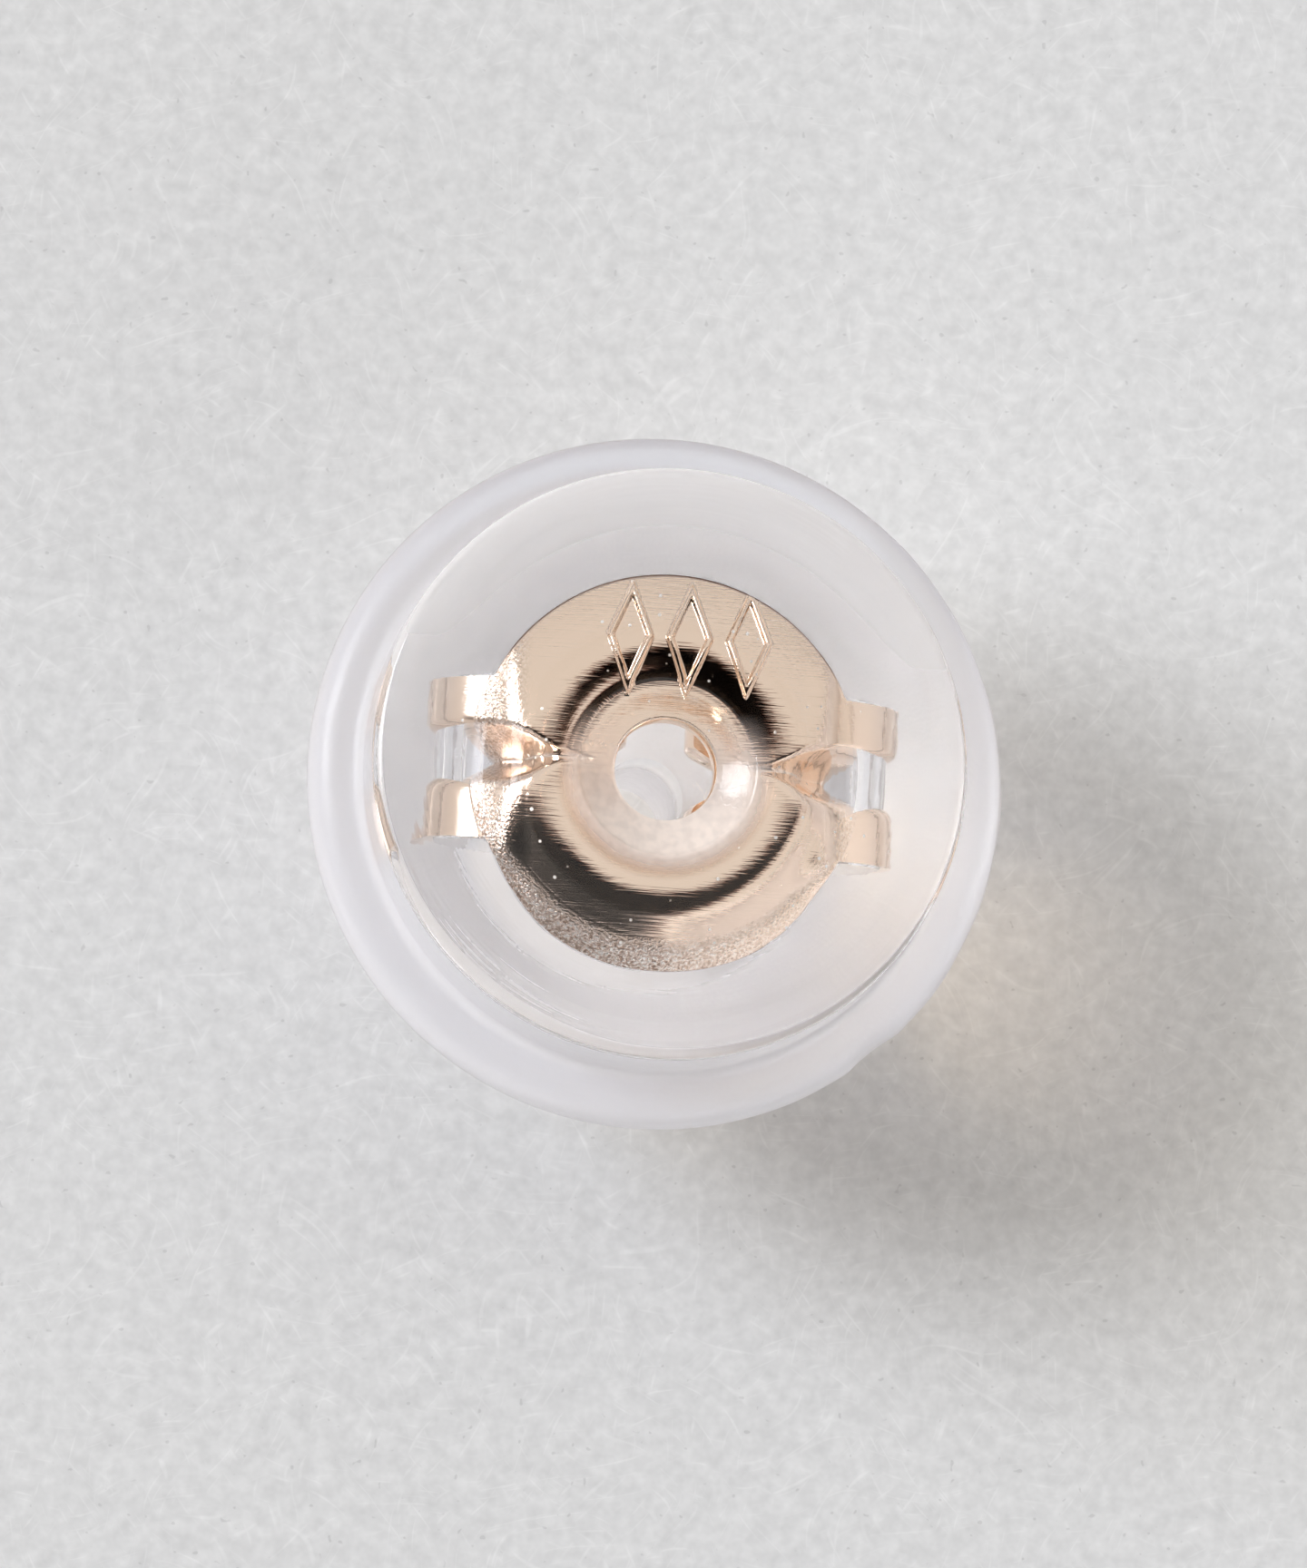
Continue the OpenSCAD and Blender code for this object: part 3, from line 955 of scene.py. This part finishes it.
for number, angle in enumerate(ray_angles):
    ahead = np.array([math.cos(angle), math.sin(angle)])
    reach = ray_reach(angle)
    on_arm = number in east_rays or number in west_rays
    at_corner = on_arm and abs(abs(ahead[1]) * reach - ARM_HALF) < 1e-6
    end = reach if on_arm else reach - EDGE
    x, y = np.outer(ahead, np.concatenate([[HOLE_R], np.linspace(HOLE_R + EDGE, end, TOP_STEPS)]))
    lift = stamped(x, y) - channel_depth(x, y)
    lift[0] -= EDGE
    top_rows.append(keep(on_sheet(x, y, lift)))
    x, y = np.outer(ahead, np.linspace(HOLE_R, end, UNDER_STEPS))
    under_rows.append(keep(on_sheet(x, y, -under_depth(x, y))))
    rim = None
    if not on_arm or at_corner:
        backs = [0.0] * len(RIM_BACKS) if at_corner else RIM_BACKS
        x, y = np.outer(ahead, reach - np.array(backs))
        rim = keep(on_sheet(x, y, -np.array(RIM_DEPTHS)))
    rim_rows.append(rim)
print("the plate has", sum(len(p) for p in points), "points")

# %% [markdown]
# Each arm rolls round its curl: down its outer side, under, and up beside the post. The strip's
# cross-section is the same closed loop all the way, so the sides of the sheet come out as real
# edges too. The outer side bulges 0.07 mm past a true circle, where the rubber stretches over it.

# %% Roll the arms
CURL_STEPS = 90
CURL_START = math.pi / 2 - ARM_FLANK
CURL_TIP = math.radians(-198)
CURL_BULGE = 0.07
faces = []


def arm_loop(side_x, turn, y_values):
    """Points of one cross-section of an arm at an angle of its curl, as top, rim, under, rim."""
    facing = np.array([side_x * math.cos(turn), 0, math.sin(turn)])
    middle = np.array([side_x * CURL_X, 0, CURL_Z])
    radius = CURL_R + CURL_BULGE * float(smoothstep(CURL_START, 0.2, abs(turn)))

    def at(y, lift):
        return middle + facing * (radius + lift) + np.array([0, y, 0])

    x = np.full(len(y_values), BEND_X)
    top = [at(y, -depth) for y, depth in zip(y_values, channel_depth(x, y_values))]
    under = [at(y, -depth) for y, depth in zip(y_values, under_depth(x, y_values))]
    first = [at(y_values[0], -depth) for depth in RIM_DEPTHS]
    last = [at(y_values[-1], -depth) for depth in RIM_DEPTHS]
    return top + last + under[::-1] + first[::-1]


for rays, side_x in ((east_rays, 1), (west_rays, -1)):
    loop = (
        [top_rows[k][-1] for k in rays]
        + rim_rows[rays[-1]]
        + [under_rows[k][-1] for k in rays][::-1]
        + rim_rows[rays[0]][::-1]
    )
    size = len(loop)
    for turn in np.linspace(CURL_START, CURL_TIP, CURL_STEPS)[1:]:
        new_loop = keep(arm_loop(side_x, turn, side_x * arm_y))
        for j in range(size):
            k = (j + 1) % size
            faces.append((loop[j], loop[k], new_loop[k], new_loop[j]))
        loop = new_loop
    tops = loop[:ARM_COLUMNS]
    lasts = loop[ARM_COLUMNS : ARM_COLUMNS + 4]
    unders = loop[ARM_COLUMNS + 4 : 2 * ARM_COLUMNS + 4][::-1]
    firsts = loop[2 * ARM_COLUMNS + 4 :][::-1]
    faces += [(tops[j], tops[j + 1], unders[j + 1], unders[j]) for j in range(ARM_COLUMNS - 1)]
    faces.append([tops[-1]] + lasts + [unders[-1]])
    faces.append([tops[0]] + firsts + [unders[0]])
print("both arms have", len(faces), "faces")

# %% [markdown]
# The plate's own faces go from each ray to the next: over the top, under it, round the wall of the
# hole, and down the rim wherever both rays have one.

# %% Join the rays to one sheet
for k in range(len(ray_angles)):
    n = (k + 1) % len(ray_angles)
    pairs = [(top_rows[k], top_rows[n]), (under_rows[k], under_rows[n])]
    pairs.append(([top_rows[k][0], under_rows[k][0]], [top_rows[n][0], under_rows[n][0]]))
    if rim_rows[k] and rim_rows[n]:
        a = [top_rows[k][-1]] + rim_rows[k] + [under_rows[k][-1]]
        b = [top_rows[n][-1]] + rim_rows[n] + [under_rows[n][-1]]
        pairs.append((a, b))
    for a, b in pairs:
        faces += [(a[j], a[j + 1], b[j + 1], b[j]) for j in range(len(a) - 1)]
clutch = smooth_mesh("butterfly_clutch_sheet", np.concatenate(points), faces, fold=50)
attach(clutch, "root")
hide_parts("butterfly_clutch")

# %% [markdown]
# ## Champagne gold
# The sheet is a gold alloy in a pale champagne tone, rolled and polished before it was stamped. Gold
# is a metal, so all its colour is in the reflection. The polish leaves fine straight scratches along
# the arms, 0.014 mm apart and half a millimetre long, and worn patches 0.6 mm wide that are a little
# less glossy. A picture of scratches would do, but noise in millimetres needs none and never repeats.

# %% Scratches and gloss of the gold
gold = bpy.data.materials.new("polished_champagne_gold")
gold.use_nodes = True
tree = gold.node_tree
tree.nodes.clear()
place = add(tree, "ShaderNodeTexCoord")
in_mm = add(
    tree, "ShaderNodeVectorMath", {"operation": "SCALE", "Scale": 1 / MM}, {0: place.outputs["Object"]}
)
parts = add(tree, "ShaderNodeSeparateXYZ", links={0: in_mm})
east, north_way = parts.outputs["X"], parts.outputs["Y"]
flat = add(tree, "ShaderNodeCombineXYZ", links={"X": east, "Y": north_way})
length = add(tree, "ShaderNodeVectorMath", {"operation": "LENGTH"}, {0: flat})
radius = length.outputs["Value"]
SCRATCHES_PER_MM = (2, 70, 8)
PATCHES_PER_MM = 1.6
stretch = add(
    tree, "ShaderNodeVectorMath", {"operation": "MULTIPLY", 1: SCRATCHES_PER_MM}, {0: in_mm}
)
scratches = add(tree, "ShaderNodeTexNoise", {"Scale": 1, "Detail": 2}, {"Vector": stretch})
worn = add(tree, "ShaderNodeTexNoise", {"Scale": PATCHES_PER_MM, "Detail": 2}, {"Vector": in_mm})
gloss = add(
    tree,
    "ShaderNodeMapRange",
    {"From Min": 0.35, "From Max": 0.75, "To Min": 0.045, "To Max": 0.12},
    {"Value": worn},
)
print("scratches are", round(1 / SCRATCHES_PER_MM[1], 3), "mm apart")

# %% [markdown]
# The southern rim was drawn over the die's edge and the western one was filed, which left both rough
# and sparkling, less so towards the east. The crumbs are 0.02 mm wide. The band is worked out from
# the radius and the direction, and kept off the arms.

# %% Rough rim of the plate
CRUMBS_PER_MM = 42
margin = add(tree, "ShaderNodeMapRange", {"From Min": 1.47, "From Max": 1.6}, {"Value": radius})
to_south = add(
    tree, "ShaderNodeMapRange", {"From Min": 0.1, "From Max": -0.5}, {"Value": north_way}
)
near = add(tree, "ShaderNodeMapRange", {"From Min": 1.72, "From Max": 1.7}, {"Value": radius})
past_arms = add(
    tree, "ShaderNodeMapRange", {"From Min": -0.74, "From Max": -0.8}, {"Value": north_way}
)
filed = add(
    tree, "ShaderNodeMapRange", {"From Min": -1.2, "From Max": -1.5, "To Max": 0.7}, {"Value": east}
)
to_west = add(
    tree, "ShaderNodeMapRange", {"From Min": 1.2, "From Max": 0.0, "To Min": 0.25}, {"Value": east}
)
on_plate = add(tree, "ShaderNodeMath", {"operation": "MAXIMUM"}, {0: near, 1: past_arms})
south_margin = add(tree, "ShaderNodeMath", {"operation": "MULTIPLY"}, {0: margin, 1: to_south})
south_rim = add(tree, "ShaderNodeMath", {"operation": "MULTIPLY"}, {0: south_margin, 1: on_plate})
west_rim = add(tree, "ShaderNodeMath", {"operation": "MULTIPLY"}, {0: filed, 1: on_plate})
both_rims = add(tree, "ShaderNodeMath", {"operation": "MAXIMUM"}, {0: south_rim, 1: west_rim})
rough_rim = add(tree, "ShaderNodeMath", {"operation": "MULTIPLY"}, {0: both_rims, 1: to_west})
crumbs = add(tree, "ShaderNodeTexNoise", {"Scale": CRUMBS_PER_MM, "Detail": 2}, {"Vector": in_mm})
rim_height = add(tree, "ShaderNodeMath", {"operation": "MULTIPLY"}, {0: rough_rim, 1: crumbs})
fine = add(tree, "ShaderNodeBump", {"Strength": 0.25, "Distance": 0.005 * MM}, {"Height": scratches})
rough = add(
    tree,
    "ShaderNodeBump",
    {"Strength": 1.0, "Distance": 0.011 * MM},
    {"Height": rim_height, "Normal": fine},
)
print("crumbs of the rim are", round(1 / CRUMBS_PER_MM, 3), "mm wide")

# %% [markdown]
# Colour comes last. The alloy is pale champagne. Each crumb of the rim is darker or lighter, as painted
# shade and painted glints, and a thin dark line of painted shade runs along the plate's edge in the
# north. A few specks of white dust lie on the face: round spots about 0.03 mm across, one in some of
# the cells of a Voronoi pattern.

# %% Colours of the gold
DUST_CELLS_PER_MM = 5.5
# The crumbs' dark and near-white colours are painted shade and painted glints, and the dark edge colour
# is painted shade.
CRUMB_GLINT_COLOURS = [(0.36, "#A58A78"), (0.5, "#E6D2C4"), (0.64, "#FFFCF6")]
ALLOY, EDGE_SHADE, DUST_WHITE = linear("#F9E3CF"), linear("#6A4A3C"), linear("#FFFFFF")
crumb_glints_and_shade = add(tree, "ShaderNodeValToRGB", {"stops": CRUMB_GLINT_COLOURS}, {"Fac": crumbs})
alloy = add(tree, "ShaderNodeMix", {"data_type": "RGBA", 6: ALLOY}, {0: rough_rim, 7: crumb_glints_and_shade})
edge = add(tree, "ShaderNodeMapRange", {"From Min": 1.662, "From Max": 1.676}, {"Value": radius})
to_north = add(
    tree, "ShaderNodeMapRange", {"From Min": 0.75, "From Max": 0.95}, {"Value": north_way}
)
# A thin dark line of painted shade along the plate's north edge.
edge_shade_line = add(tree, "ShaderNodeMath", {"operation": "MULTIPLY"}, {0: edge, 1: to_north})
edge_shaded = add(
    tree, "ShaderNodeMix", {"data_type": "RGBA", 7: EDGE_SHADE}, {0: edge_shade_line, 6: alloy.outputs[2]}
)
dust_cells = add(tree, "ShaderNodeTexVoronoi", {"Scale": DUST_CELLS_PER_MM}, {"Vector": in_mm})
dust = add(tree, "ShaderNodeMapRange", {"From Min": 0.1, "From Max": 0.06}, {"Value": dust_cells})
dusty = add(
    tree, "ShaderNodeMix", {"data_type": "RGBA", 7: DUST_WHITE}, {0: dust, 6: edge_shaded.outputs[2]}
)
clean_roughness = add(tree, "ShaderNodeMix", {"data_type": "FLOAT", 3: 0.2}, {0: rough_rim, 2: gloss})
gold_roughness = add(
    tree, "ShaderNodeMix", {"data_type": "FLOAT", 3: 0.75}, {0: dust, 2: clean_roughness}
)
print("cells with dust are", round(1 / DUST_CELLS_PER_MM, 2), "mm wide")

# %% [markdown]
# The light that the rubber gathers also fills the middle of the sheet's own shadow, so shadow rays
# meet the same shares of light in the gold as in the silicone.

# %% Gold shader
gold_shader = add(
    tree,
    "ShaderNodeBsdfPrincipled",
    {"Metallic": 1},
    {"Base Color": dusty.outputs[2], "Roughness": gold_roughness, "Normal": rough},
)
ray = add(tree, "ShaderNodeLightPath")
gathered = add(tree, "ShaderNodeBsdfTransparent", links={"Color": light_through(tree, parts)})
seen_or_lit = add(
    tree,
    "ShaderNodeMixShader",
    links={0: ray.outputs["Is Shadow Ray"], 1: gold_shader, 2: gathered},
)
add(tree, "ShaderNodeOutputMaterial", links={"Surface": seen_or_lit})
clutch.data.materials.append(gold)
print("gold has", len(tree.nodes), "nodes and silicone", len(silicone.node_tree.nodes))
